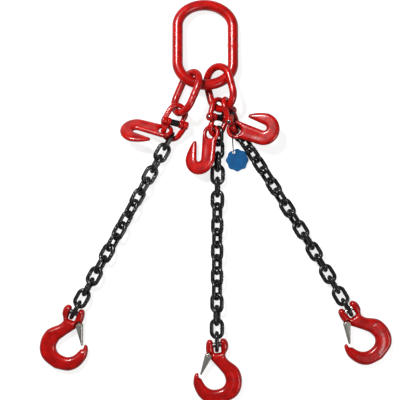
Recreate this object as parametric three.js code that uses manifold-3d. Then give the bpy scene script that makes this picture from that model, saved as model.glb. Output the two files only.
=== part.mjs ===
// A three-leg chain sling lying on the floor: a master link, two sublinks, and three legs.
// Each leg has a two-part coupling, a grab hook for shortening, a chain, and a clevis sling hook.
// Units are millimetres. +Z is up, and +Y runs from the sling hooks towards the master link.
import * as THREE from "three";
import { mergeVertices } from "three/addons/utils/BufferGeometryUtils.js";
import Module from "manifold-3d";

const wasm = await Module();
wasm.setup();

// ---- Driving dimensions ----
const CHAIN = { bar: 10, pitch: 29.7, insideWidth: 15, facets: 5, sides: 6 };
const MASTER = { bar: 26, insideWidth: 104, insideLength: 164, bowHeight: 51, facets: 9, sides: 8 };
const SUBLINK = { bar: 18, insideWidth: 50, insideLength: 83, facets: 7, sides: 8 };
const COUPLING = {
  bar: 13,
  bowRadius: 20,
  reach: 42,
  knuckleRadius: 10,
  bushHalf: 9.5,
  bushRadius: 7.6,
  innerKnuckle: [10, 19.7],
  outerKnuckle: [20, 32],
  pinRadius: 5,
};
const GRAB = { eyeOuter: 22, eyeHole: 12, slotHalf: 6.5, bowlRadius: 38, bowlAcross: 24, bowlDown: 60 };
const GRAB_THICKNESS = 13;
const HOOK = { thickness: 22, slotHalf: 8.4, pinRadius: 6.1, pinHalfLength: 24, rollPinRadius: 2.5 };
const LATCH = { length: 45, plate: 2, halfWidth: 9, root: 8, lugRadius: 5.6, lugHalf: 2.5, pinRadius: 2.5, lean: 29 };
const SPRING = { wire: 0.6, radius: 4.1, turns: 1.5, rise: 1.9 };
const LATCH_PIVOT = new THREE.Vector2(-24, -25);
const TAG = { radius: 27, thickness: 3, holeOut: 20, holeRadius: 3.5 };
const TAG_RING = { wire: 1.8, halfWidth: 11.8, halfLength: 27 };
const CLEARANCE = 0.3;
// More room round faceted pieces that turn inside each other, so that their corners pass.
const TURNING_CLEARANCE = 0.9;
const SAME_POINT = 0.01;
const LINK_SPACING = { joined: 30.7, loose: 28.8 };
const CHAIN_HEIGHT = 17.6;

// ---- Materials ----
const paint = new THREE.MeshStandardMaterial({ color: 0xb81410, roughness: 0.32, metalness: 0.1 });
const chainBlack = new THREE.MeshStandardMaterial({ color: 0x141414, roughness: 0.42, metalness: 0.6 });
const zinc = new THREE.MeshStandardMaterial({ color: 0xc9c6bc, roughness: 0.35, metalness: 0.85 });
const steel = new THREE.MeshStandardMaterial({ color: 0x8c8f92, roughness: 0.4, metalness: 0.9 });
const bushBlack = new THREE.MeshStandardMaterial({ color: 0x101010, roughness: 0.5, metalness: 0.4 });
const tagBlue = new THREE.MeshStandardMaterial({ color: 0x0f5a9e, roughness: 0.5, metalness: 0.1 });

// ---- Solids ----
/** The geometry as a manifold solid, placed by a matrix. */
function solid(geometry, matrix = new THREE.Matrix4()) {
  const bare = geometry.clone().applyMatrix4(matrix);
  bare.deleteAttribute("normal");
  bare.deleteAttribute("uv");
  const merged = mergeVertices(bare, 1e-4);
  return new wasm.Manifold(
    new wasm.Mesh({
      numProp: 3,
      vertProperties: new Float32Array(merged.attributes.position.array),
      triVerts: new Uint32Array(merged.index.array),
    }),
  );
}

/** A manifold solid as a three.js geometry. */
function geometryOf(body) {
  const made = body.getMesh();
  const geometry = new THREE.BufferGeometry();
  geometry.setAttribute("position", new THREE.BufferAttribute(made.vertProperties, 3));
  geometry.setIndex(new THREE.BufferAttribute(made.triVerts, 1));
  geometry.computeVertexNormals();
  return geometry;
}

/** A solid cylinder from one point of an axis to another: axis is "x", "y" or "z". */
function rod(axis, radius, from, to, x = 0, y = 0, sides = 10) {
  const geometry = new THREE.CylinderGeometry(radius, radius, to - from, sides);
  geometry.rotateY(Math.PI / sides);
  geometry.translate(0, (from + to) / 2, 0);
  if (axis === "x") geometry.rotateZ(-Math.PI / 2);
  if (axis === "z") geometry.rotateX(Math.PI / 2);
  geometry.translate(x, y, 0);
  return solid(geometry);
}

/** A bar's centreline: straight spans between corners that all lie in its own XY plane. */
class BarCurve extends THREE.Curve {
  constructor(corners, closed, sides) {
    super();
    this.corners = corners;
    this.spans = closed ? corners.length : corners.length - 1;
    this.closed = closed;
    this.facetTurn = Math.PI / sides;
  }

  corner(i) {
    const count = this.corners.length;
    return this.corners[((i % count) + count) % count];
  }

  getPoint(t, target = new THREE.Vector3()) {
    const along = t * this.spans;
    const i = Math.min(Math.floor(along + 1e-9), this.spans - (this.closed ? 0 : 1));
    const point = this.corner(i).clone().lerp(this.corner(i + 1), along - i);
    return target.set(point.x, point.y, 0);
  }

  getPointAt(u, target) {
    return this.getPoint(u, target);
  }

  /** Frames that halve each corner's angle, turned so that a flat of the bar faces inwards. */
  computeFrenetFrames(segments) {
    const frames = { tangents: [], normals: [], binormals: [] };
    const up = new THREE.Vector3(0, 0, 1);
    for (let i = 0; i <= segments; i++) {
      const before = this.closed ? i - 1 : Math.max(i - 1, 0);
      const after = this.closed ? i + 1 : Math.min(i + 1, segments);
      const arriving = this.corner(i).clone().sub(this.corner(before)).normalize();
      const leaving = this.corner(after).clone().sub(this.corner(i)).normalize();
      const along = arriving.add(leaving).normalize();
      const tangent = new THREE.Vector3(along.x, along.y, 0);
      const across = new THREE.Vector3().crossVectors(up, tangent);
      const normal = across.clone().multiplyScalar(Math.cos(this.facetTurn));
      normal.addScaledVector(up, Math.sin(this.facetTurn));
      frames.tangents.push(tangent);
      frames.normals.push(normal);
      frames.binormals.push(new THREE.Vector3().crossVectors(tangent, normal));
    }
    return frames;
  }
}

/** Corners round a link: two half-ellipse bows joined by straight sides. */
function linkCorners(halfWidth, halfLength, bowHeight, facets) {
  const corners = [];
  for (const end of [0, 1]) {
    for (let i = 0; i <= facets; i++) {
      const angle = Math.PI * (end + i / facets);
      const bowCentre = (halfLength - bowHeight) * (end ? -1 : 1);
      corners.push(new THREE.Vector2(halfWidth * Math.cos(angle), bowCentre + bowHeight * Math.sin(angle)));
    }
  }
  return corners;
}

/** A closed link of round bar, its long axis along Y. */
function linkGeometry({ bar, insideWidth, insideLength, bowHeight, facets, sides }) {
  const halfWidth = (insideWidth + bar) / 2;
  const corners = linkCorners(halfWidth, (insideLength + bar) / 2, bowHeight ?? halfWidth, facets);
  const path = new BarCurve(corners, true, sides);
  return new THREE.TubeGeometry(path, corners.length, bar / 2, sides, true);
}

/** An open bar through corners. */
function barSolid(corners, radius) {
  const sides = 8;
  const round = new THREE.Shape(ringPoints(radius, sides));
  const path = new BarCurve(corners, false, sides);
  return solid(new THREE.ExtrudeGeometry(round, { extrudePath: path, steps: corners.length - 1 }));
}

/** A flat outline made thick about its own plane, with chamfered edges. */
function plateGeometry(shape, thickness, chamfer, curveSegments) {
  const drawn = shape.getPoints(curveSegments);
  const apart = drawn.filter((corner, i) => corner.distanceTo(drawn.at(i - 1)) > SAME_POINT);
  const clean = new THREE.Shape(apart);
  clean.holes = shape.holes;
  const geometry = new THREE.ExtrudeGeometry(clean, {
    depth: thickness - 2 * chamfer,
    bevelEnabled: chamfer > 0,
    bevelThickness: chamfer,
    bevelSize: chamfer,
    bevelOffset: -chamfer,
    bevelSegments: 1,
  });
  return geometry.translate(0, 0, chamfer - thickness / 2);
}

/** Corners of a regular polygon, for round holes and round bars. */
function ringPoints(radius, count, x = 0, y = 0) {
  const corners = [];
  for (let i = 0; i < count; i++) {
    const angle = (2 * Math.PI * i) / count;
    corners.push(new THREE.Vector2(x + radius * Math.cos(angle), y + radius * Math.sin(angle)));
  }
  return corners;
}

function points(...pairs) {
  return pairs.map(([x, y]) => new THREE.Vector2(x, y));
}

// ---- Coupling ----
/** Half of a coupling: a bow whose two ends carry an outer knuckle (left) and an inner one (right). */
function couplingHalf() {
  const { bowRadius, reach, knuckleRadius, bushHalf, bushRadius } = COUPLING;
  const [innerFrom, innerTo] = COUPLING.innerKnuckle;
  const [outerFrom, outerTo] = COUPLING.outerKnuckle;
  const shoulder = reach - bowRadius;
  const outerLimb = -(outerFrom + outerTo) / 2;
  const innerLimb = (innerFrom + innerTo) / 2;
  const corners = points([outerLimb, 0], [outerLimb, shoulder / 2]);
  for (let i = 0; i <= 5; i++) {
    const angle = Math.PI * (1 - i / 5);
    corners.push(new THREE.Vector2(bowRadius * Math.cos(angle), shoulder + bowRadius * Math.sin(angle)));
  }
  corners.push(...points([innerLimb + 2, shoulder / 2], [innerLimb, 0]));
  return barSolid(corners, COUPLING.bar / 2)
    .add(rod("x", knuckleRadius, -outerTo, -outerFrom))
    .add(rod("x", knuckleRadius, innerFrom, innerTo))
    .subtract(rod("x", knuckleRadius + TURNING_CLEARANCE, -innerTo - CLEARANCE, -bushHalf))
    .subtract(rod("x", knuckleRadius + TURNING_CLEARANCE, innerTo + CLEARANCE / 2, outerTo + knuckleRadius))
    .subtract(rod("x", bushRadius + TURNING_CLEARANCE, -bushHalf - CLEARANCE, bushHalf + CLEARANCE))
    .subtract(rod("x", COUPLING.pinRadius + CLEARANCE, -outerTo - 5, outerTo + 5));
}

/** The bush: a short sleeve round the middle of the load pin. */
function bushGeometry() {
  const { bushHalf, bushRadius, pinRadius } = COUPLING;
  const bore = pinRadius + CLEARANCE;
  return geometryOf(
    rod("x", bushRadius, -bushHalf, bushHalf).subtract(rod("x", bore, -bushHalf - 1, bushHalf + 1)),
  );
}

// ---- Grab hook ----
/** A shortening hook, its eye at the origin and its narrow slot open towards the eye. */
function grabHookGeometry() {
  const { eyeOuter, eyeHole, slotHalf, bowlRadius, bowlAcross, bowlDown } = GRAB;
  const slotMiddle = -27;
  const tip = { inner: -36.5, outer: -44.5, top: -17 };
  const outline = new THREE.Shape();
  outline.absarc(0, 0, eyeOuter, -Math.PI / 4, Math.PI * 1.05, false);
  outline.lineTo(slotMiddle + slotHalf, -bowlDown);
  outline.absarc(slotMiddle, -bowlDown, slotHalf, 0, -Math.PI, true);
  outline.lineTo(tip.inner, tip.top);
  outline.lineTo(tip.outer, tip.top);
  outline.quadraticCurveTo(-58, -36, -bowlAcross - bowlRadius, -bowlDown);
  outline.absarc(-bowlAcross, -bowlDown, bowlRadius, Math.PI, 2 * Math.PI, false);
  outline.holes.push(new THREE.Path(ringPoints(eyeHole, 12)));
  return geometryOf(solid(plateGeometry(outline, GRAB_THICKNESS, 3, 6)));
}

// ---- Sling hook ----
/** The hook's outline: clevis pin at the origin, two ears above, the bowl below, the throat at -X. */
function hookOutline() {
  const { slotHalf } = HOOK;
  const outline = new THREE.Shape();
  outline.moveTo(slotHalf, -19);
  outline.lineTo(slotHalf, 10);
  outline.splineThru(points([14, 13.5], [21.5, 11.5], [26.5, 2], [25, -12], [19, -21], [16, -28]));
  outline.splineThru(points([22, -39], [37, -53], [46, -65], [50, -86], [44, -111], [27, -129], [-6, -139.5]));
  outline.splineThru(points([-38, -133], [-57, -116], [-67, -90], [-65, -72], [-59, -60]));
  outline.lineTo(-50.5, -60);
  outline.lineTo(-51.5, -72);
  outline.lineTo(-46, -74);
  outline.splineThru(points([-38, -92], [-27, -102], [-14, -104.5], [1, -101], [10, -89], [8.5, -72]));
  outline.splineThru(points([-3, -54], [-17, -34], [-21, -27], [-26.5, -17], [-26, 1], [-21, 13], [-13, 14.5]));
  outline.lineTo(-slotHalf, 10);
  outline.lineTo(-slotHalf, -19);
  return outline;
}

/** The hook's body, with its pin holes, and a thinned root where the latch straddles it. */
function hookBodyGeometry() {
  const { x, y } = LATCH_PIVOT;
  const { lugHalf, lugRadius } = LATCH;
  const recess = LATCH.root + 4;
  const deep = HOOK.thickness;
  const body = solid(plateGeometry(hookOutline(), HOOK.thickness, 3, 1))
    .subtract(rod("z", recess, lugHalf, deep, x, y))
    .subtract(rod("z", recess, -deep, -lugHalf, x, y))
    .add(rod("z", lugRadius, -lugHalf, lugHalf, x, y))
    .subtract(rod("z", LATCH.pinRadius + CLEARANCE, -deep, deep, x, y))
    .subtract(rod("x", HOOK.pinRadius + CLEARANCE, -40, 40))
    .subtract(rod("z", HOOK.rollPinRadius + CLEARANCE, -deep, deep, ROLL_PIN_AT, 0));
  return geometryOf(body);
}
const ROLL_PIN_AT = 17;

function clevisPinGeometry() {
  const { pinRadius, pinHalfLength, rollPinRadius } = HOOK;
  const bore = rod("z", rollPinRadius + CLEARANCE, -20, 20, ROLL_PIN_AT, 0);
  return geometryOf(rod("x", pinRadius, -pinHalfLength, pinHalfLength).subtract(bore));
}

/** The latch: two cheeks and a web of sheet steel, its pivot at the origin and its tip at -Y. */
function latchGeometry() {
  const { length, plate, halfWidth, root, pinRadius } = LATCH;
  const cheek = new THREE.Shape();
  cheek.moveTo(-root, -8);
  cheek.lineTo(-1.5, -length);
  cheek.lineTo(1.5, -length);
  cheek.lineTo(root, -6);
  cheek.absarc(0, 0, root, 0, Math.PI, false);
  const hollow = new THREE.Shape();
  hollow.moveTo(-root + plate, 12);
  hollow.lineTo(-root + plate, -8);
  hollow.lineTo(-0.4, -length + 8);
  hollow.lineTo(20, -length + 8);
  hollow.lineTo(20, 12);
  hollow.closePath();
  const whole = solid(plateGeometry(cheek, 2 * halfWidth, 0, 6));
  return geometryOf(
    whole
      .subtract(solid(plateGeometry(hollow, 2 * (halfWidth - plate), 0, 1)))
      .subtract(rod("z", pinRadius + CLEARANCE, -20, 20)),
  );
}

/** The latch's coil spring, wound round its pin beside the hook's root. */
function springGeometry() {
  const { wire, radius, turns, rise } = SPRING;
  const steps = 18;
  const centreline = [];
  for (let i = 0; i <= steps; i++) {
    const angle = 2 * Math.PI * turns * (i / steps);
    const along = rise * (i / steps - 0.5);
    centreline.push(new THREE.Vector3(radius * Math.cos(angle), radius * Math.sin(angle), along));
  }
  const section = new THREE.Shape(points([wire, 0], [0, wire], [-wire, 0], [0, -wire]));
  const path = new THREE.CatmullRomCurve3(centreline);
  return new THREE.ExtrudeGeometry(section, { extrudePath: path, steps });
}

// ---- Tag ----
/** The round identity tag, with eight shallow points and a hole near its edge. */
function tagGeometry() {
  const corners = ringPoints(TAG.radius, 16);
  corners.filter((_, i) => i % 2 === 0).forEach((corner) => corner.multiplyScalar(0.92));
  const outline = new THREE.Shape(corners);
  outline.holes.push(new THREE.Path(ringPoints(TAG.holeRadius, 8, 0, TAG.holeOut)));
  return plateGeometry(outline, TAG.thickness, 0, 1);
}

function tagRingGeometry() {
  const { wire, halfWidth, halfLength } = TAG_RING;
  const corners = linkCorners(halfWidth, halfLength, halfWidth, 6);
  const sides = 6;
  const path = new BarCurve(corners, true, sides);
  return new THREE.TubeGeometry(path, corners.length, wire / 2, sides, true);
}

// ---- Placing ----
const sling = new THREE.Group();

/** A named mesh laid at a point: heading turns it on the floor, pitch lifts its +Y end, roll turns it. */
function lay(name, geometry, material, { at, heading = 0, pitch = 0, roll = 0 }, parent = sling) {
  const mesh = new THREE.Mesh(geometry, material);
  mesh.name = name;
  put(mesh, { at, heading, pitch, roll });
  parent.add(mesh);
  return mesh;
}

function put(object, { at, heading = 0, pitch = 0, roll = 0 }) {
  const { degToRad } = THREE.MathUtils;
  object.position.set(...at);
  object.rotation.set(degToRad(pitch), degToRad(roll), degToRad(heading), "ZXY");
}

/** A coupling with its bush and load pin, in a group of its own: bend folds the lower half down. */
function layCoupling(leg, { bend, ...pose }) {
  const group = new THREE.Group();
  put(group, pose);
  sling.add(group);
  const half = couplingHalf();
  const { outerKnuckle, pinRadius } = COUPLING;
  const here = { at: [0, 0, 0] };
  lay(`coupling_upper_half_${leg}`, geometryOf(half), paint, here, group);
  lay(`coupling_lower_half_${leg}`, geometryOf(half), paint, { at: [0, 0, 0], heading: 180, pitch: -bend }, group);
  const pin = rod("x", pinRadius, -outerKnuckle[1] - 1, outerKnuckle[1] + 1);
  lay(`coupling_pin_${leg}`, geometryOf(pin), steel, here, group);
  lay(`coupling_bush_${leg}`, bushGeometry(), bushBlack, here, group);
}

/** A sling hook with its pins, latch and spring, in a group of its own. */
function laySlingHook(leg, pose) {
  const group = new THREE.Group();
  put(group, pose);
  sling.add(group);
  const here = { at: [0, 0, 0] };
  const pivot = [LATCH_PIVOT.x, LATCH_PIVOT.y, 0];
  const pinHalf = LATCH.halfWidth + 1.5;
  const springAt = (LATCH.lugHalf + LATCH.halfWidth - LATCH.plate) / 2;
  lay(`sling_hook_${leg}`, hookBodyGeometry(), paint, here, group);
  lay(`clevis_pin_${leg}`, clevisPinGeometry(), steel, here, group);
  const rollPin = rod("z", HOOK.rollPinRadius, -10, 10);
  lay(`roll_pin_${leg}`, geometryOf(rollPin), steel, { at: [ROLL_PIN_AT, 0, 0] }, group);
  lay(`latch_${leg}`, latchGeometry(), zinc, { at: pivot, heading: -LATCH.lean }, group);
  const latchPin = rod("z", LATCH.pinRadius, -pinHalf, pinHalf);
  lay(`latch_pin_${leg}`, geometryOf(latchPin), zinc, { at: pivot }, group);
  lay(`latch_spring_${leg}`, springGeometry(), steel, { at: [pivot[0], pivot[1], springAt] }, group);
}

/**
 * A leg's chain, laid link by link from its first link. Each node is a run of two or three links,
 * and neighbouring links are turned about the chain's line so that they cross: turns lists how many
 * times each angle is added from one link to the next.
 */
function layChain(leg, { first, height, headings, firstRoll, turns, runs }) {
  const link = linkGeometry({ ...CHAIN, insideLength: CHAIN.pitch });
  const count = runs.reduce((sum, run) => sum + run, 0);
  const starts = runs.map((run, i) => runs.slice(0, i).reduce((sum, length) => sum + length, 0));
  const pen = new THREE.Vector3(first[0], first[1], height);
  const steps = turns.flatMap(([repeats, angle]) => Array(repeats).fill(angle));
  let heading = headings[0];
  let roll = firstRoll;
  let links = [];
  let run = 0;
  for (let i = 0; i < count; i++) {
    if (i) {
      roll += steps[i - 1];
      const spacing = starts.includes(i) ? LINK_SPACING.loose : LINK_SPACING.joined;
      const next = THREE.MathUtils.lerp(headings[0], headings[1], i / (count - 1));
      const middle = THREE.MathUtils.degToRad((heading + next) / 2);
      pen.add(new THREE.Vector3(Math.sin(middle), -Math.cos(middle), 0).multiplyScalar(spacing));
      pen.z = THREE.MathUtils.lerp(height, CHAIN_HEIGHT, i / (count - 1));
      heading = next;
    }
    const holder = new THREE.Object3D();
    put(holder, { at: pen.toArray(), heading, roll });
    holder.updateMatrix();
    links.push(holder.matrix.clone());
    if (starts.includes(i + 1) || i + 1 === count) {
      layRun(`chain_${leg}_${run + 1}`, link, links);
      links = [];
      run += 1;
    }
  }
  return { end: pen.clone(), heading };
}

/** Links joined into one node, whose own frame is its first link's. */
function layRun(name, link, matrices) {
  const inverse = matrices[0].clone().invert();
  const solids = matrices.map((matrix) => solid(link, inverse.clone().multiply(matrix)));
  const joined = solids.reduce((sum, next) => sum.add(next));
  const mesh = new THREE.Mesh(geometryOf(joined), chainBlack);
  mesh.name = name;
  mesh.applyMatrix4(matrices[0]);
  sling.add(mesh);
}

// ---- Layout, from the master link's middle ----
lay("master_link", linkGeometry(MASTER), paint, { at: [0, -0.9, 26.1], pitch: -5.8, roll: 5.8 });
lay("sublink_left", linkGeometry(SUBLINK), paint, { at: [-43.3, -113.1, 37], heading: -23.2, pitch: 0.8, roll: -55.7 });
lay("sublink_right", linkGeometry(SUBLINK), paint, { at: [34, -102, 35.3], heading: 13.7, pitch: -10.4, roll: -38 });

const couplings = {
  left: { at: [-70.7, -183.5, 34.4], heading: -13.9, pitch: 2.6, roll: 14.7, bend: 21.8 },
  middle: { at: [30.4, -170.2, 28], heading: -1.9, pitch: 0.5, roll: 42.3, bend: 10.7 },
  right: { at: [59.1, -166, 36.8], heading: 24.8, pitch: 24.9, roll: 67.9, bend: 0.5 },
};
const grabHooks = {
  left: { at: [-96, -200.7, 31], heading: -106.5, pitch: 17.2, roll: 137.8 },
  middle: { at: [13.6, -207, 27.3], heading: -4.4, pitch: -11.1, roll: -27.8 },
  right: { at: [70.5, -199.1, 34.7], heading: 68.9, pitch: -9.9, roll: 178.1 },
};
const chains = {
  left: {
    first: [-86, -224.9],
    height: 17.5,
    headings: [-28.7, -29],
    firstRoll: 100,
    turns: [[15, 95.33]],
    runs: [2, 2, 2, 2, 2, 3, 3],
  },
  middle: {
    first: [29.6, -212.8],
    height: 17.2,
    headings: [-0.6, 0],
    firstRoll: 131.2,
    turns: [[6, 77], [6, 90], [4, 99]],
    runs: [2, 2, 2, 2, 3, 3, 3],
  },
  right: {
    first: [77.6, -205.1],
    height: 19.3,
    headings: [33.8, 30],
    firstRoll: 149.4,
    turns: [[2, 80], [14, 87.2]],
    runs: [2, 2, 2, 2, 3, 3, 3],
  },
};
for (const leg of ["left", "middle", "right"]) {
  layCoupling(leg, couplings[leg]);
  lay(`grab_hook_${leg}`, grabHookGeometry(), paint, grabHooks[leg]);
  const { end, heading } = layChain(leg, chains[leg]);
  const down = THREE.MathUtils.degToRad(heading);
  const toPin = 7.2;
  const pin = [end.x + toPin * Math.sin(down), end.y - toPin * Math.cos(down), CHAIN_HEIGHT - 1];
  laySlingHook(leg, { at: pin, heading: heading + 7, pitch: 2.5, roll: leg === "left" ? 180 : 0 });
}
lay("tag_ring", tagRingGeometry(), steel, { at: [63.9, -227.5, 21.9], heading: 5, pitch: 37, roll: 90 });
lay("id_tag", tagGeometry(), tagBlue, { at: [75, -268.3, 4.9], heading: 24, pitch: 6 });

// The frame's origin is the middle of the underside.
const group = new THREE.Group();
group.add(sling);
sling.updateMatrixWorld(true);
const box = new THREE.Box3().setFromObject(sling, true);
sling.position.set(-(box.min.x + box.max.x) / 2, -(box.min.y + box.max.y) / 2, -box.min.z);

export default group;
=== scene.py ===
"""The finished look of a three-leg chain sling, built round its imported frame.

Sizes are in millimetres until a surface becomes a mesh, which is in metres. A piece's own frame has its
long axis on Y and its flat plane on XY; the tables of poses lay each piece on the floor.
"""

import logging
import math
from collections.abc import Callable
from dataclasses import dataclass, field
from enum import Enum

import bpy
import numpy as np
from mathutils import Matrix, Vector
from mathutils.geometry import delaunay_2d_cdt


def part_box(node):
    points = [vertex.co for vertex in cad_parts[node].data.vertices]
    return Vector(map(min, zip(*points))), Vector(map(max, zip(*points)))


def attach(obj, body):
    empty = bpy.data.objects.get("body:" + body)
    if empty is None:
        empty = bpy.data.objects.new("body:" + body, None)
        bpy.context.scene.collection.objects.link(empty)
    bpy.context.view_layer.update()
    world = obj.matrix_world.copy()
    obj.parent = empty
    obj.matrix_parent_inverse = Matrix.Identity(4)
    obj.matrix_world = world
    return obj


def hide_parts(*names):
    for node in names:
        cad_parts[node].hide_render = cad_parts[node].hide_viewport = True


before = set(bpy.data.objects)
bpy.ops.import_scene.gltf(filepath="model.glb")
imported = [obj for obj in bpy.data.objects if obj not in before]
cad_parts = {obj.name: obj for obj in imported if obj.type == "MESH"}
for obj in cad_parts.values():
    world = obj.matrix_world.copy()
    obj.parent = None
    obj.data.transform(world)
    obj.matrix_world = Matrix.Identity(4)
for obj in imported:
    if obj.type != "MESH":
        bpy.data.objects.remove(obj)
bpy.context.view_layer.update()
log = logging.getLogger("sling")
MILLIMETRE = 0.001
BAR_ROLLED = 0.985  # a rolled bar's real size over its nominal size
AT_ONCE = 3000  # points measured together
ON_EDGE = 1e-3  # a point this near an outline lies on it
Array = np.ndarray


class Leg(Enum):
    """The sling's legs, named as they lie."""

    LEFT = "left"
    MIDDLE = "middle"
    RIGHT = "right"


@dataclass(frozen=True)
class Pose:
    """Where a piece lies: heading turns it on the floor, pitch lifts its +Y end, roll turns it over."""

    at: tuple[float, float, float]
    heading: float = 0.0
    pitch: float = 0.0
    roll: float = 0.0
    bend: float = 0.0

    def matrix(self) -> Array:
        """Rotation about Z by the heading, then X by the pitch, then Y by the roll, as a 4 by 4 matrix."""
        h, p, r = np.radians([self.heading, self.pitch, self.roll])
        turn_z = np.array([[np.cos(h), -np.sin(h), 0], [np.sin(h), np.cos(h), 0], [0, 0, 1]])
        turn_x = np.array([[1, 0, 0], [0, np.cos(p), -np.sin(p)], [0, np.sin(p), np.cos(p)]])
        turn_y = np.array([[np.cos(r), 0, np.sin(r)], [0, 1, 0], [-np.sin(r), 0, np.cos(r)]])
        whole = np.eye(4)
        whole[:3, :3] = turn_z @ turn_x @ turn_y
        whole[:3, 3] = self.at
        return whole


MASTER_POSE = Pose((0, -0.9, 26.1), pitch=-5.8, roll=5.8)
SUBLINK_POSES = {
    "sublink_left": Pose((-43.3, -113.1, 37), heading=-23.2, pitch=0.8, roll=-55.7),
    "sublink_right": Pose((34, -102, 35.3), heading=13.7, pitch=-10.4, roll=-38),
}
COUPLING_POSES = {
    Leg.LEFT: Pose((-70.7, -183.5, 34.4), -13.9, 2.6, 14.7, 21.8),
    Leg.MIDDLE: Pose((30.4, -170.2, 28), -1.9, 0.5, 42.3, 10.7),
    Leg.RIGHT: Pose((59.1, -166, 36.8), 24.8, 24.9, 67.9, 0.5),
}
GRAB_POSES = {
    Leg.LEFT: Pose((-96, -200.7, 31), -106.5, 17.2, 137.8),
    Leg.MIDDLE: Pose((13.6, -207, 27.3), -4.4, -11.1, -27.8),
    Leg.RIGHT: Pose((70.5, -199.1, 34.7), 68.9, -9.9, 178.1),
}
TAG_RING_POSE = Pose((63.9, -227.5, 21.9), heading=5, pitch=37, roll=90)
TAG_POSE = Pose((75, -268.3, 4.9), heading=24, pitch=6)


@dataclass(frozen=True)
class ChainRun:
    """How a leg's chain lies: its first link, its heading at each end, and how its links turn."""

    first: tuple[float, float]
    height: float
    headings: tuple[float, float]
    first_roll: float
    turns: tuple[tuple[int, float], ...]
    runs: tuple[int, ...]


CHAIN_RUNS = {
    Leg.LEFT: ChainRun((-86, -224.9), 17.5, (-28.7, -29), 100, ((15, 95.33),), (2, 2, 2, 2, 2, 3, 3)),
    Leg.MIDDLE: ChainRun(
        (29.6, -212.8), 17.2, (-0.6, 0), 131.2, ((6, 77), (6, 90), (4, 99)), (2, 2, 2, 2, 3, 3, 3)
    ),
    Leg.RIGHT: ChainRun(
        (77.6, -205.1), 19.3, (33.8, 30), 149.4, ((2, 80), (14, 87.2)), (2, 2, 2, 2, 3, 3, 3)
    ),
}


@dataclass
class Surface:
    """Points and faces of one piece, with a share of wear at each point."""

    points: Array
    faces: list[tuple[int, ...]]
    wear: Array = field(default_factory=lambda: np.zeros(0))

    def __post_init__(self) -> None:
        """Gives every point no wear where none was stated."""
        if len(self.wear) != len(self.points):
            self.wear = np.zeros(len(self.points))

    def moved(self, matrix: Array) -> "Surface":
        """The same surface placed by a matrix.

        Args:
            matrix: A 4 by 4 placement.

        Returns:
            A new surface.
        """
        return Surface(self.points @ matrix[:3, :3].T + matrix[:3, 3], self.faces, self.wear)

    def joined(self, other: "Surface") -> "Surface":
        """Both surfaces as one.

        Args:
            other: The surface to add.

        Returns:
            A new surface.
        """
        count = len(self.points)
        faces = self.faces + [tuple(i + count for i in face) for face in other.faces]
        wear = np.concatenate([self.wear, other.wear])
        return Surface(np.vstack([self.points, other.points]), faces, wear)


def grid_faces(rows: int, columns: int, wrap_rows: bool, wrap_columns: bool) -> list[tuple[int, ...]]:
    """Quads of a grid of points, row by row, that may close on itself either way.

    Args:
        rows: Number of rows of points.
        columns: Points in each row.
        wrap_rows: Whether the last row joins the first.
        wrap_columns: Whether each row's last point joins its first.

    Returns:
        Faces that point outwards where rows run along a tube and columns run round it.
    """
    i = np.arange(rows if wrap_rows else rows - 1)[:, None]
    j = np.arange(columns if wrap_columns else columns - 1)[None, :]
    below, beside = (i + 1) % rows, (j + 1) % columns
    corners = (i * columns + j, i * columns + beside, below * columns + beside, below * columns + j)
    return [tuple(quad) for quad in np.stack(corners, -1).reshape(-1, 4).tolist()]


def capped(points: Array, sides: int, start: Array, end: Array) -> Surface:
    """A tube of rings of points, closed by a fan of triangles at each end.

    Args:
        points: The rings' points, ring by ring, (n * sides, 3).
        sides: Points in each ring.
        start: The point that the first ring closes on.
        end: The point that the last ring closes on.

    Returns:
        A closed surface.
    """
    count = len(points)
    j = np.arange(sides)
    beside = (j + 1) % sides
    first = np.stack([np.full(sides, count), beside, j], -1)
    last = np.stack([np.full(sides, count + 1), count - sides + j, count - sides + beside], -1)
    fans = [tuple(face) for face in np.vstack([first, last]).tolist()]
    return Surface(np.vstack([points, start, end]), grid_faces(count // sides, sides, False, True) + fans)


def tube(path: Array, radius: Array, sides: int, closed: bool, flat: float = 1.0) -> Surface:
    """A bar along a path: centre + radius * (cos a * side + flat * sin a * rise).

    Args:
        path: Points of the centreline, (n, 3).
        radius: Bar radius at each point, (n,).
        sides: Points round the bar.
        closed: Whether the path joins up.
        flat: Height of the section over its width.

    Returns:
        A closed surface; an open bar's ends are capped with a fan.
    """
    if closed:
        tangent = np.roll(path, -1, 0) - np.roll(path, 1, 0)
    else:
        tangent = np.gradient(path, axis=0)
    tangent /= np.linalg.norm(tangent, axis=1, keepdims=True)
    side = np.cross(np.array([0.0, 0.0, 1.0]), tangent)
    side /= np.linalg.norm(side, axis=1, keepdims=True)
    rise = np.cross(tangent, side)
    angle = np.linspace(0, 2 * np.pi, sides, endpoint=False)
    across, up = np.cos(angle)[None, :, None], flat * np.sin(angle)[None, :, None]
    ring = across * side[:, None] + up * rise[:, None]
    points = (path[:, None] + radius[:, None, None] * ring).reshape(-1, 3)
    if closed:
        return Surface(points, grid_faces(len(path), sides, True, True))
    return capped(points, sides, path[0], path[-1])


def lathe(profile: Array, sides: int) -> Surface:
    """A round piece about the X axis: (along, radius) pairs turned through a circle.

    Args:
        profile: (n, 2) array of place along X and radius. Its ends lie on the axis, or neither does and
            the profile closes on itself.
        sides: Points round the piece.

    Returns:
        A closed surface.
    """
    hollow = profile[0, 1] > 0
    rings = profile if hollow else profile[1:-1]
    angle = np.linspace(0, 2 * np.pi, sides, endpoint=False)
    along = np.repeat(rings[:, :1], sides, axis=1)
    points = np.stack([along, rings[:, 1:] * np.cos(angle), rings[:, 1:] * np.sin(angle)], -1).reshape(-1, 3)
    if hollow:
        return Surface(points, grid_faces(len(rings), sides, True, True))
    return capped(points, sides, np.array([profile[0, 0], 0, 0]), np.array([profile[-1, 0], 0, 0]))


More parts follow.
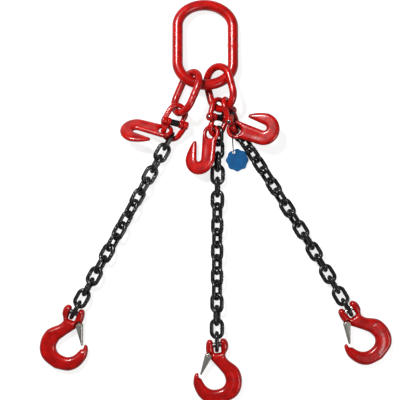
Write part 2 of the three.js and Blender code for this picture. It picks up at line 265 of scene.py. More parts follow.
def both_ends(end: list[tuple[float, float]]) -> Array:
    """A symmetric lathe profile from its +X end.

    Args:
        end: (along, radius) pairs from the middle outwards.

    Returns:
        The whole profile, (2n, 2).
    """
    right = np.array(end, float)
    return np.vstack([right[::-1] * (-1, 1), right])


def spline(points: list[tuple[float, float]], step: float) -> Array:
    """A smooth curve through points: each span is the Catmull-Rom blend of the four points round it.

    Args:
        points: Points to pass through.
        step: Distance between points of the curve.

    Returns:
        The curve's points, (n, 2).
    """
    p = np.array([points[0], *points, points[-1]], float)
    out = []
    for a, b, c, d in zip(p[:-3], p[1:-2], p[2:-1], p[3:]):
        t = np.linspace(0, 1, max(2, int(np.linalg.norm(c - b) / step)), endpoint=False)[:, None]
        square, cube = 2 * a - 5 * b + 4 * c - d, 3 * b - a - 3 * c + d
        out.append(0.5 * (2 * b + (c - a) * t + square * t**2 + cube * t**3))
    return np.vstack([*out, p[-1:]])


def arc(centre: tuple[float, float], radius: float, start: float, end: float, step: float) -> Array:
    """Points of a circular arc, evenly spaced.

    Args:
        centre: The arc's centre.
        radius: Its radius.
        start: Angle in degrees at which it starts.
        end: Angle in degrees at which it ends.
        step: Distance between its points.

    Returns:
        Its points, (n, 2).
    """
    count = max(3, int(abs(math.radians(end - start)) * radius / step))
    angle = np.radians(np.linspace(start, end, count))
    return np.array(centre) + radius * np.stack([np.cos(angle), np.sin(angle)], -1)


def even_loop(loop: Array, spacing: float, rounding: int) -> Array:
    """A closed outline resampled evenly, its corners rounded by averaging neighbours.

    Args:
        loop: The outline's points, (n, 2).
        spacing: Distance between the new points.
        rounding: How many times each point is averaged with its neighbours.

    Returns:
        The new points.
    """
    ends = np.vstack([loop, loop[:1]])
    length = np.r_[0, np.cumsum(np.linalg.norm(np.diff(ends, axis=0), axis=1))]
    even = np.linspace(0, length[-1], int(length[-1] / spacing), endpoint=False)
    out = np.stack([np.interp(even, length, ends[:, k]) for k in (0, 1)], -1)
    for _ in range(rounding):
        out = 0.5 * out + 0.25 * (np.roll(out, 1, 0) + np.roll(out, -1, 0))
    return out


def edge_distance(points: Array, loops: list[Array]) -> Array:
    """Least distance from each point to any outline, found over all their segments at once.

    Args:
        points: Places to measure from, (n, 2).
        loops: Closed outlines.

    Returns:
        One distance for each point.
    """
    best = np.full(len(points), np.inf)
    for loop in loops:
        a, b = loop, np.roll(loop, -1, 0)
        run = b - a
        for part in np.array_split(np.arange(len(points)), max(1, len(points) // AT_ONCE)):
            gap = points[part][:, None] - a[None]
            share = np.clip((gap * run).sum(-1) / (run * run).sum(-1), 0, 1)
            away = np.linalg.norm(gap - share[..., None] * run, axis=-1)
            best[part] = np.minimum(best[part], away.min(1))
    return best


def is_inside(points: Array, loops: list[Array]) -> Array:
    """Whether each point lies inside the outlines: a ray from it crosses them an odd number of times.

    Args:
        points: Places to test, (n, 2).
        loops: Closed outlines.

    Returns:
        One truth for each point.
    """
    odd = np.zeros(len(points), bool)
    for loop in loops:
        a, b = loop, np.roll(loop, -1, 0)
        spans = (a[None, :, 1] > points[:, None, 1]) != (b[None, :, 1] > points[:, None, 1])
        rise = np.where(np.abs(b[:, 1] - a[:, 1]) < 1e-12, 1e-12, b[:, 1] - a[:, 1])
        cross = a[None, :, 0] + (points[:, None, 1] - a[None, :, 1]) * ((b[:, 0] - a[:, 0]) / rise)[None]
        odd ^= (spans & (points[:, None, 0] < cross)).sum(1) % 2 == 1
    return odd


def forged_plate(
    loops: list[Array], crown: float, rim: float, thickness: Callable[[Array], Array], spacing: float
) -> Surface:
    """A forging that follows a flat outline, its faces rounded over towards their edges.

    Half the height at a distance d from the edge is rim + (thickness - rim) * sqrt(1 - (1 - d / crown)^2),
    with d taken no larger than the crown.

    Args:
        loops: The outer outline, anticlockwise, then any holes, clockwise.
        crown: Distance from an edge at which a face becomes flat.
        rim: Half the height of the straight wall left at the edge.
        thickness: Function of the points' places that gives half the full thickness at each.
        spacing: Distance between the points away from the edge.

    Returns:
        A closed surface, symmetric about the XY plane.
    """
    offsets = (crown * (1 - np.cos(np.radians([12, 24, 37, 51, 66])))).tolist()
    layers = [np.vstack(loops)]
    for offset in offsets:
        for loop in loops:
            along = np.roll(loop, -1, 0) - np.roll(loop, 1, 0)
            along /= np.linalg.norm(along, axis=1, keepdims=True)
            ring = loop + offset * np.stack([-along[:, 1], along[:, 0]], -1)
            keep = is_inside(ring, loops) & (edge_distance(ring, loops) > 0.985 * offset)
            layers.append(ring[keep])
    low, high = loops[0].min(0), loops[0].max(0)
    xs, ys = np.meshgrid(np.arange(low[0], high[0], spacing), np.arange(low[1], high[1], spacing))
    inner = np.stack([xs.ravel(), ys.ravel()], -1)
    inner = inner[is_inside(inner, loops)]
    layers.append(inner[edge_distance(inner, loops) > offsets[-1] + 0.5 * spacing])
    flat = np.vstack(layers)
    edges, at = [], 0
    for loop in loops:
        edges += [(at + i, at + (i + 1) % len(loop)) for i in range(len(loop))]
        at += len(loop)
    made = delaunay_2d_cdt([Vector(p) for p in flat.tolist()], edges, [], 0, 1e-5)
    points = np.array([tuple(v) for v in made[0]])
    triangles = np.array([t for t in made[2] if len(t) == 3])
    middle = points[triangles].mean(1)
    triangles = triangles[is_inside(middle, loops)]
    a, b, c = (points[triangles[:, k]] for k in range(3))
    turn = (b[:, 0] - a[:, 0]) * (c[:, 1] - a[:, 1]) - (b[:, 1] - a[:, 1]) * (c[:, 0] - a[:, 0])
    triangles[turn < 0] = triangles[turn < 0][:, ::-1]
    depth = edge_distance(points, loops)
    on_edge = depth < ON_EDGE
    rounding = np.sqrt(np.clip(1 - (1 - np.minimum(depth / crown, 1)) ** 2, 0, 1))
    height = rim + (thickness(points) - rim) * rounding
    height[on_edge] = rim
    count = len(points)
    top = np.c_[points, height]
    below = np.arange(count) + count
    if rim == 0:
        below[on_edge] = np.arange(count)[on_edge]
    everything = np.vstack([top, np.c_[points, -height]])
    kept = np.unique(np.r_[triangles.ravel(), below[triangles].ravel()])
    index = np.full(len(everything), -1)
    index[kept] = np.arange(len(kept))
    faces = index[np.vstack([triangles, below[triangles][:, ::-1]])].tolist()
    if rim > 0:
        i, j = np.vstack([triangles[:, [0, 1]], triangles[:, [1, 2]], triangles[:, [2, 0]]]).T
        edge = ~np.isin(i * count + j, j * count + i)
        i, j = i[edge], j[edge]
        faces += index[np.stack([j, i, below[i], below[j]], -1)].tolist()
    return Surface(everything[kept], [tuple(face) for face in faces])


def fused(surface: Surface, voxel: float, smoothing: int) -> Surface:
    """The union of overlapping closed surfaces, re-skinned on a fine grid and smoothed like a forging.

    Args:
        surface: Closed surfaces that overlap.
        voxel: Grid size in millimetres.
        smoothing: Rounds of smoothing.

    Returns:
        One closed surface.
    """
    mesh = bpy.data.meshes.new("fusing")
    mesh.from_pydata(surface.points.tolist(), [], surface.faces)
    holder = bpy.data.objects.new("fusing", mesh)
    bpy.context.scene.collection.objects.link(holder)
    remesh = holder.modifiers.new("skin", "REMESH")
    remesh.mode, remesh.voxel_size = "VOXEL", voxel
    smooth = holder.modifiers.new("smooth", "SMOOTH")
    smooth.factor, smooth.iterations = 0.5, smoothing
    made = bpy.data.meshes.new_from_object(holder.evaluated_get(bpy.context.evaluated_depsgraph_get()))
    points = np.zeros(len(made.vertices) * 3)
    made.vertices.foreach_get("co", points)
    faces = [tuple(p.vertices) for p in made.polygons]
    bpy.data.objects.remove(holder)
    bpy.data.meshes.remove(made)
    return Surface(points.reshape(-1, 3), faces)


def layout_shift() -> Array:
    """How far the frame's origin lies from the layout's, read from the left coupling's pin."""
    low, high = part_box("coupling_pin_left")
    middle = np.array([(low[k] + high[k]) / 2 for k in range(3)]) / MILLIMETRE
    return middle - np.array(COUPLING_POSES[Leg.LEFT].at)


SHIFT = layout_shift()


def make_piece(
    name: str,
    surface: Surface,
    body: str,
    skin: "Skin",
    replaces: tuple[str, ...] = (),
    sharp: float = 60.0,
) -> bpy.types.Object:
    """Turns a placed surface into a finished object that rides on a body.

    Args:
        name: The object's name.
        surface: The surface, in layout millimetres.
        body: The CAD body that it moves with.
        skin: Its material.
        replaces: The CAD nodes that it stands for.
        sharp: Angle in degrees past which an edge stays sharp.

    Returns:
        The object.
    """
    mesh = bpy.data.meshes.new(name)
    points = (surface.points + SHIFT) * MILLIMETRE
    mesh.from_pydata(points.tolist(), [], surface.faces)
    worn = mesh.attributes.new("worn", "FLOAT", "POINT")
    worn.data.foreach_set("value", surface.wear.astype(np.float32))
    mesh.validate()
    mesh.shade_smooth()
    mesh.set_sharp_from_angle(angle=math.radians(sharp))
    mesh.materials.append(skin.material)
    piece = bpy.data.objects.new(name, mesh)
    bpy.context.scene.collection.objects.link(piece)
    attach(piece, body)
    if replaces:
        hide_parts(*replaces)
    log.info("%s: %d faces on %s", name, len(mesh.polygons), body)
    return piece


# ---- Finishes ----
def node_group(name: str, outputs: dict[str, str], inputs: dict[str, float]) -> bpy.types.NodeTree:
    """An empty shader group with named number inputs and its outputs.

    Args:
        name: The group's name.
        outputs: Output names and their socket types.
        inputs: Input names and their default values.

    Returns:
        The group, with its input and output nodes named In and Out.
    """
    group = bpy.data.node_groups.new(name, "ShaderNodeTree")
    for key, value in inputs.items():
        group.interface.new_socket(key, in_out="INPUT", socket_type="NodeSocketFloat").default_value = value
    for key, kind in outputs.items():
        group.interface.new_socket(key, in_out="OUTPUT", socket_type=kind)
    group.nodes.new("NodeGroupInput").name = "In"
    group.nodes.new("NodeGroupOutput").name = "Out"
    return group


def add_noise(tree: bpy.types.NodeTree, scale: float, detail: float, rough: float) -> bpy.types.Node:
    """A noise texture on object coordinates."""
    place = tree.nodes.new("ShaderNodeTexCoord")
    noise = tree.nodes.new("ShaderNodeTexNoise")
    noise.inputs["Scale"].default_value = scale
    noise.inputs["Detail"].default_value = detail
    noise.inputs["Roughness"].default_value = rough
    tree.links.new(place.outputs["Object"], noise.inputs["Vector"])
    return noise


def add_ramp(tree: bpy.types.NodeTree, low: float, high: float) -> bpy.types.Node:
    """A map range that takes low to 0 and high to 1, smoothly."""
    ramp = tree.nodes.new("ShaderNodeMapRange")
    ramp.interpolation_type = "SMOOTHSTEP"
    ramp.inputs["From Min"].default_value = low
    ramp.inputs["From Max"].default_value = high
    return ramp


def forged_skin_group() -> bpy.types.NodeTree:
    """The skin of a forging: a mottle mask, a mask of small scuffs, and the height of its dents."""
    outputs = {"Mottle": "NodeSocketFloat", "Scuffs": "NodeSocketFloat", "Height": "NodeSocketFloat"}
    group = node_group("forged_skin", outputs, {"Scuff Amount": 0.5})
    nodes, links = group.nodes, group.links
    broad = add_noise(group, 55, 3, 0.55)
    mottle = add_ramp(group, 0.3, 0.7)
    links.new(broad.outputs["Fac"], mottle.inputs["Value"])
    links.new(mottle.outputs["Result"], nodes["Out"].inputs["Mottle"])
    speck = add_noise(group, 420, 4, 0.7)
    patch = add_noise(group, 70, 2, 0.5)
    both = nodes.new("ShaderNodeMath")
    both.operation = "MULTIPLY"
    links.new(speck.outputs["Fac"], both.inputs[0])
    links.new(patch.outputs["Fac"], both.inputs[1])
    scuff = add_ramp(group, 0.36, 0.42)
    links.new(both.outputs["Value"], scuff.inputs["Value"])
    scaled = nodes.new("ShaderNodeMath")
    scaled.operation = "MULTIPLY"
    links.new(scuff.outputs["Result"], scaled.inputs[0])
    links.new(nodes["In"].outputs["Scuff Amount"], scaled.inputs[1])
    links.new(scaled.outputs["Value"], nodes["Out"].inputs["Scuffs"])
    dents = add_noise(group, 130, 3, 0.5)
    peel = add_noise(group, 1100, 1, 0.4)
    small = nodes.new("ShaderNodeMath")
    small.operation = "MULTIPLY"
    small.inputs[1].default_value = 0.12
    links.new(peel.outputs["Fac"], small.inputs[0])
    height = nodes.new("ShaderNodeMath")
    links.new(dents.outputs["Fac"], height.inputs[0])
    links.new(small.outputs["Value"], height.inputs[1])
    links.new(height.outputs["Value"], nodes["Out"].inputs["Height"])
    return group


@dataclass(frozen=True)
class Finish:
    """A finish made of two mottled colours, a worn colour, and a forged skin.

    Attributes:
        name: Material name.
        base: Main colour.
        shade: The colour that the mottle mixes in.
        bare: Colour where the surface is scuffed or worn through.
        metallic: How metallic the unworn surface is.
        roughness: Roughness of the unworn surface.
        bare_roughness: Roughness where it is worn.
        coat: Weight of the clear gloss on top.
        scuffs: How strongly the small scuffs show.
        relief: Depth of the dents, in metres.
    """

    name: str
    base: tuple[float, float, float]
    shade: tuple[float, float, float]
    bare: tuple[float, float, float]
    metallic: float
    roughness: float
    bare_roughness: float
    coat: float
    scuffs: float
    relief: float

    def build(self, skin: bpy.types.NodeTree) -> bpy.types.Material:
        """Builds the material round a forged skin group.

        Args:
            skin: The shared group of masks and height.

        Returns:
            The material.
        """
        material = bpy.data.materials.new(self.name)
        material.use_nodes = True
        tree = material.node_tree
        nodes, links = tree.nodes, tree.links
        shader = nodes["Principled BSDF"]
        shader.inputs["Coat Weight"].default_value = self.coat
        shader.inputs["Coat Roughness"].default_value = 0.08
        group = nodes.new("ShaderNodeGroup")
        group.node_tree = skin
        group.inputs["Scuff Amount"].default_value = self.scuffs
        colour = nodes.new("ShaderNodeMix")
        colour.data_type = "RGBA"
        colour.inputs["A"].default_value = (*self.base, 1)
        colour.inputs["B"].default_value = (*self.shade, 1)
        links.new(group.outputs["Mottle"], colour.inputs["Factor"])
        worn = nodes.new("ShaderNodeAttribute")
        worn.attribute_name = "worn"
        both = nodes.new("ShaderNodeMath")
        both.operation = "MAXIMUM"
        links.new(group.outputs["Scuffs"], both.inputs[0])
        links.new(worn.outputs["Fac"], both.inputs[1])
        laid = nodes.new("ShaderNodeMix")
        laid.data_type = "RGBA"
        laid.inputs["B"].default_value = (*self.bare, 1)
        links.new(both.outputs["Value"], laid.inputs["Factor"])
        links.new(colour.outputs["Result"], laid.inputs["A"])
        links.new(laid.outputs["Result"], shader.inputs["Base Color"])
        for socket, plain, bare in (
            ("Metallic", self.metallic, 1.0),
            ("Roughness", self.roughness, self.bare_roughness),
        ):
            change = nodes.new("ShaderNodeMapRange")
            change.inputs["To Min"].default_value = plain
            change.inputs["To Max"].default_value = bare
            links.new(both.outputs["Value"], change.inputs["Value"])
            links.new(change.outputs["Result"], shader.inputs[socket])
        bump = nodes.new("ShaderNodeBump")
        bump.inputs["Strength"].default_value = 0.6
        bump.inputs["Distance"].default_value = self.relief
        links.new(group.outputs["Height"], bump.inputs["Height"])
        links.new(bump.outputs["Normal"], shader.inputs["Normal"])
        return material


RED_ENAMEL = Finish(
    "red_enamel",
    base=(0.60, 0.003, 0.001),
    shade=(0.36, 0.001, 0.001),
    bare=(0.14, 0.010, 0.006),
    metallic=0.0,
    roughness=0.3,
    bare_roughness=0.45,
    coat=0.35,
    scuffs=0.3,
    relief=0.0004,
)
BLACK_OXIDE = Finish(
    "black_oxide",
    base=(0.006, 0.006, 0.007),
    shade=(0.014, 0.013, 0.012),
    bare=(0.20, 0.19, 0.18),
    metallic=0.1,
    roughness=0.3,
    bare_roughness=0.28,
    coat=0.5,
    scuffs=0.45,
    relief=0.0003,
)
BRIGHT_STEEL = Finish(
    "bright_steel",
    base=(0.45, 0.45, 0.45),
    shade=(0.34, 0.34, 0.35),
    bare=(0.6, 0.6, 0.6),
    metallic=1.0,
    roughness=0.3,
    bare_roughness=0.22,
    coat=0.0,
    scuffs=0.4,
    relief=0.0001,
)
ZINC_PLATE = Finish(
    "zinc_plate",
    base=(0.62, 0.60, 0.55),
    shade=(0.50, 0.47, 0.41),
    bare=(0.35, 0.34, 0.32),
    metallic=0.9,
    roughness=0.36,
    bare_roughness=0.5,
    coat=0.0,
    scuffs=0.4,
    relief=0.00012,
)
BUSH_BLACK = Finish(
    "bush_black",
    base=(0.010, 0.010, 0.011),
    shade=(0.02, 0.02, 0.02),
    bare=(0.12, 0.12, 0.12),
    metallic=0.6,
    roughness=0.42,
    bare_roughness=0.35,
    coat=0.0,
    scuffs=0.3,
    relief=0.0001,
)
TAG_BLUE = Finish(
    "tag_blue",
    base=(0.001, 0.125, 0.36),
    shade=(0.001, 0.09, 0.27),
    bare=(0.02, 0.19, 0.45),
    metallic=0.1,
    roughness=0.42,
    bare_roughness=0.55,
    coat=0.2,
    scuffs=0.3,
    relief=0.0002,
)


@dataclass(frozen=True)
class Skin:
    """A built material and the record's slot that it belongs to."""

    material: bpy.types.Material
    slot: str


@dataclass
class Finishes:
    """Every finish, built once."""

    red: Skin
    black: Skin
    steel: Skin
    zinc: Skin
    bush: Skin
    tag: Skin
    wire: Skin

    @classmethod
    def build(cls) -> "Finishes":
        """Builds the shared skin of the forgings and each material on it.

        Returns:
            The finishes.
        """
        forged = forged_skin_group()
        plans = (RED_ENAMEL, BLACK_OXIDE, BRIGHT_STEEL, ZINC_PLATE, BUSH_BLACK, TAG_BLUE)
        slots = ("red_paint", "chain_steel", "pin_steel", "zinc_steel", "bush", "tag")
        made = [Skin(plan.build(forged), slot) for plan, slot in zip(plans, slots)]
        return cls(*made, Skin(made[1].material, "pin_steel"))


# ---- Links ----
def link_path(half_width: float, half_length: float, bow_height: float, count: int) -> Array:
    """Centreline of a link: two half ellipses joined by straight sides, resampled evenly.

    Each bow's point at an angle a is (half_width * cos a, half_length - bow_height + bow_height * sin a).
    """
    angle = np.linspace(0, np.pi, 60)
    middle = half_length - bow_height
    top = np.stack([half_width * np.cos(angle), middle + bow_height * np.sin(angle)], -1)
    loop = even_loop(np.vstack([top, -top]), 2 * (math.pi * bow_height + 2 * middle) / count, 0)
    return np.c_[loop, np.zeros(len(loop))]


@dataclass
class WeldedLink:
    """A link bent from round bar and butt-welded halfway along one side.

    Attributes:
        bar: Bar diameter.
        inside_width: Width of its opening.
        inside_length: Length of its opening.
        bow_height: Height of its end bows, or none for round ones.
        weld: How far the weld's ridge stands proud, as a share of the radius.
        detail: Points along the link and round the bar.
    """

    bar: float
    inside_width: float
    inside_length: float
    bow_height: float | None = None
    weld: float = 0.07
    detail: tuple[int, int] = (96, 24)

    def surface(self) -> Surface:
        """The link, with its weld ridge and the polish where its bows bear on their neighbours."""
        half_width = (self.inside_width + self.bar) / 2
        half_length = (self.inside_length + self.bar) / 2
        count, sides = self.detail
        path = link_path(half_width, half_length, self.bow_height or half_width, count)
        beside = np.where(path[:, 0] > 0, np.abs(path[:, 1]), np.inf) / self.bar
        ridge = np.exp(-((beside / 0.16) ** 2)) - 0.5 * np.exp(-(((beside - 0.35) / 0.1) ** 2))
        made = tube(path, self.bar / 2 * BAR_ROLLED * (1 + self.weld * ridge), sides, True)
        reach = np.abs(made.points[:, 1]) / (self.inside_length / 2)
        centre = np.repeat(path, sides, 0)
        inwards = np.linalg.norm(made.points[:, :2], axis=1) < np.linalg.norm(centre[:, :2], axis=1)
        facing = np.abs(made.points[:, 2]) < 0.45 * self.bar
        made.wear = np.clip((reach - 0.93) * 6, 0, 1) * inwards * facing
        return made


@dataclass
class HeadLinks:
    """The master link and the two sublinks that hang in it."""

    master: WeldedLink = field(default_factory=lambda: WeldedLink(25, 104.6, 163.6, 51, 0.035, (160, 40)))
    sublink: WeldedLink = field(default_factory=lambda: WeldedLink(17.4, 50.4, 83.3, None, 0.045, (120, 32)))

    def build(self, finishes: Finishes) -> None:
        """Builds and dresses the three links."""
        master = self.master.surface()
        master.wear *= 0.25
        placed = master.moved(MASTER_POSE.matrix())
        make_piece("master_ring", placed, "master", finishes.red, ("master_link",))
        for name, pose in SUBLINK_POSES.items():
            ring = self.sublink.surface()
            ring.wear *= 0.35
            make_piece(name + "_ring", ring.moved(pose.matrix()), name, finishes.red, (name,))


@dataclass
class ChainLeg:
    """One leg's chain, laid link by link.

    Attributes:
        leg: Which leg it is.
        run: How it lies.
        link: The link that it repeats.
        joined: Spacing of two links within one body.
        loose: Spacing of two links on different bodies.
        end_height: Height of the last link's middle above the floor.
    """

    leg: Leg
    run: ChainRun
    link: WeldedLink = field(default_factory=lambda: WeldedLink(9.6, 15.6, 31.2, None, 0.1, (72, 16)))
    joined: float = 30.7
    loose: float = 28.8
    end_height: float = 17.6

    def places(self) -> tuple[list[tuple[int, Pose]], Pose]:
        """Works out each link's run number and pose.

        Returns:
            The links in order, and the last link's pose.
        """
        starts = [sum(self.run.runs[:k]) for k in range(len(self.run.runs))]
        count = sum(self.run.runs)
        steps = [angle for repeats, angle in self.run.turns for _ in range(repeats)]
        x, y = self.run.first
        heading, roll, number = self.run.headings[0], self.run.first_roll, 0
        out = []
        for i in range(count):
            share = i / (count - 1)
            if i:
                roll += steps[i - 1]
                spacing = self.loose if i in starts else self.joined
                number += i in starts
                ahead = self.run.headings[0] + (self.run.headings[1] - self.run.headings[0]) * share
                middle = math.radians((heading + ahead) / 2)
                x, y = x + spacing * math.sin(middle), y - spacing * math.cos(middle)
                heading = ahead
            height = self.run.height + (self.end_height - self.run.height) * share
            out.append((number + 1, Pose((x, y, height), heading, 0, roll)))
        return out, out[-1][1]

    def build(self, finishes: Finishes) -> Pose:
        """Builds and dresses every link.

        Returns:
            The last link's pose.
        """
        links, last = self.places()
        seen: set[int] = set()
        ring = self.link.surface()
        for i, (number, pose) in enumerate(links):
            body = f"chain_{self.leg.value}_{number}"
            first = number not in seen
            seen.add(number)
            name = f"link_{self.leg.value}_{i + 1:02d}"
            replaced = (body,) if first else ()
            make_piece(name, ring.moved(pose.matrix()), body, finishes.black, replaced)
        return last


# ---- Coupling ----
@dataclass
class Coupling:
    """A two-part coupling: two forged bows whose knuckles share a load pin, with a bush between them."""

    leg: Leg
    pose: Pose
    bow_radius: float = 20
    reach: float = 42
    knuckle: float = 9.6
    bush_half: float = 9.5

    def half(self) -> Surface:
        """One forged half: a bow of changing thickness, an outer knuckle and an inner knuckle, fused."""
        shoulder = self.reach - self.bow_radius
        bow = arc((0, shoulder), self.bow_radius, 180, 0, 1.2)
        outer_foot = [(-26, -2), (-26, 4), (-25.2, 10), (-22.6, 16)]
        inner_foot = [(19.4, 16), (17.2, 11), (15, 5), (15, -2)]
        flat = np.vstack([outer_foot, bow[1:-1], inner_foot])
        place, even = np.linspace(0, 1, len(flat)), np.linspace(0, 1, 90)
        smooth = np.stack([np.interp(even, place, flat[:, k]) for k in (0, 1)], -1)
        for _ in range(6):
            smooth[1:-1] = 0.5 * smooth[1:-1] + 0.25 * (smooth[:-2] + smooth[2:])
        near_outer = np.clip(1 - (smooth[:, 1] - 2) / 16, 0, 1) * (smooth[:, 0] < 0)
        near_inner = np.clip(1 - (smooth[:, 1] - 6) / 12, 0, 1) * (smooth[:, 0] > 0)
        apex = np.clip((smooth[:, 1] - shoulder) / self.bow_radius, 0, 1)
        radius = 6.6 - 0.8 * apex - 0.6 * near_outer - 1.9 * near_inner
        bar = tube(np.c_[smooth, np.zeros(len(smooth))], radius, 24, False, 1.02)
        outer = self.barrel(-31.8, -20.2)
        inner = self.barrel(10.2, 19.5)
        return fused(bar.joined(outer).joined(inner), 0.85, 7)

    def barrel(self, start: float, end: float) -> Surface:
        """A knuckle: a barrel about X whose ends are rounded over by 2 mm."""
        turn = np.radians(np.linspace(0, 90, 6))
        left = np.stack([start + 2 - 2 * np.cos(turn), self.knuckle - 2 + 2 * np.sin(turn)], -1)
        right = np.stack([end - 2 + 2 * np.sin(turn), self.knuckle - 2 + 2 * np.cos(turn)], -1)
        profile = np.vstack([[(start, 0)], left, right, [(end, 0)]])
        return lathe(profile, 40)

    def build(self, finishes: Finishes, half: Surface) -> None:
        """Places and dresses both halves, the pin and the bush."""
        leg = self.leg.value
        whole = self.pose.matrix()
        fold = Pose((0, 0, 0), 180, -self.pose.bend, 0).matrix()
        top, bottom = f"coupling_top_{leg}", f"coupling_bottom_{leg}"
        half.wear = np.clip((half.points[:, 1] - 30) / 6, 0, 1) * (half.points[:, 1] < 37) * 0.25
        upper, lower = f"coupling_upper_half_{leg}", f"coupling_lower_half_{leg}"
        make_piece(f"coupling_bow_upper_{leg}", half.moved(whole), top, finishes.red, (upper,))
        make_piece(f"coupling_bow_lower_{leg}", half.moved(whole @ fold), bottom, finishes.red, (lower,))
        pin_end = [(31, 5), (32.2, 4.7), (33, 3.6), (33, 0)]
        pin = lathe(both_ends(pin_end), 32).moved(whole)
        make_piece(f"load_pin_{leg}", pin, top, finishes.steel, (f"coupling_pin_{leg}",), 35)
        h = self.bush_half
        sleeve_end = [(0.8, 7.2), (1.2, 7.6), (h - 0.7, 7.6), (h, 6.9), (h, 5.3)]
        sleeve = lathe(both_ends(sleeve_end), 36).moved(whole)
        make_piece(f"bush_{leg}", sleeve, top, finishes.bush, (f"coupling_bush_{leg}",), 35)


# ---- Grab hook ----
@dataclass
class GrabHook:
    """A shortening hook: a thick eye, a broad bowl and a narrow slot that holds one chain link."""

    eye_outer: float = 21.8
    eye_hole: float = 12
    slot_middle: float = -27
    slot_half: float = 6.5
    bowl_radius: float = 37.6
    bowl_down: float = 60

    def outline(self) -> list[Array]:
        """The outer outline and the eye's hole."""
        step = 1.5
        curl = np.linspace(0, 1, 30)[:, None]
        start, pull, end = np.array([(-44.5, -17)]), np.array([(-58, -36)]), np.array([(-62, -60)])
        nose = (1 - curl) ** 2 * start + 2 * curl * (1 - curl) * pull + curl**2 * end
        outer = np.vstack(
            [
                arc((0, 0), self.eye_outer, -45, 189, step),
                [(self.slot_middle + self.slot_half, -self.bowl_down)],
                arc((self.slot_middle, -self.bowl_down), self.slot_half, 0, -180, step),
                [(-36.5, -17.5), (-40.5, -15.5)],
                nose,
                arc((-24, -self.bowl_down), self.bowl_radius, 180, 360, step),
            ]
        )
        return [even_loop(outer, step, 3), arc((0, 0), self.eye_hole, 360, 0, step)[:-1]]

    def surface(self) -> Surface:
        """The forging: thickest at the eye and the bowl, thinner over the shank's web and at the nose."""

        def thickness(points: Array) -> Array:
            """Half the thickness: 6.5 mm, less a hollow on the shank and a taper to the nose."""
            web = np.exp(-(((points[:, 0] + 2) / 9) ** 2) - ((points[:, 1] + 44) / 20) ** 2)
            nose = np.clip((points[:, 1] + 55) / 40, 0, 1) * (points[:, 0] < -33)
            return 6.45 - 1.3 * web - 1.6 * nose

        return forged_plate(self.outline(), 9.0, 0.0, thickness, 2.4)

    def build(self, finishes: Finishes) -> None:
        """Places and dresses one hook for each leg."""
        made = self.surface()
        for leg, pose in GRAB_POSES.items():
            name = f"grab_hook_{leg.value}"
            placed = made.moved(pose.matrix())
            make_piece(f"shortening_{leg.value}", placed, name, finishes.red, (name,))


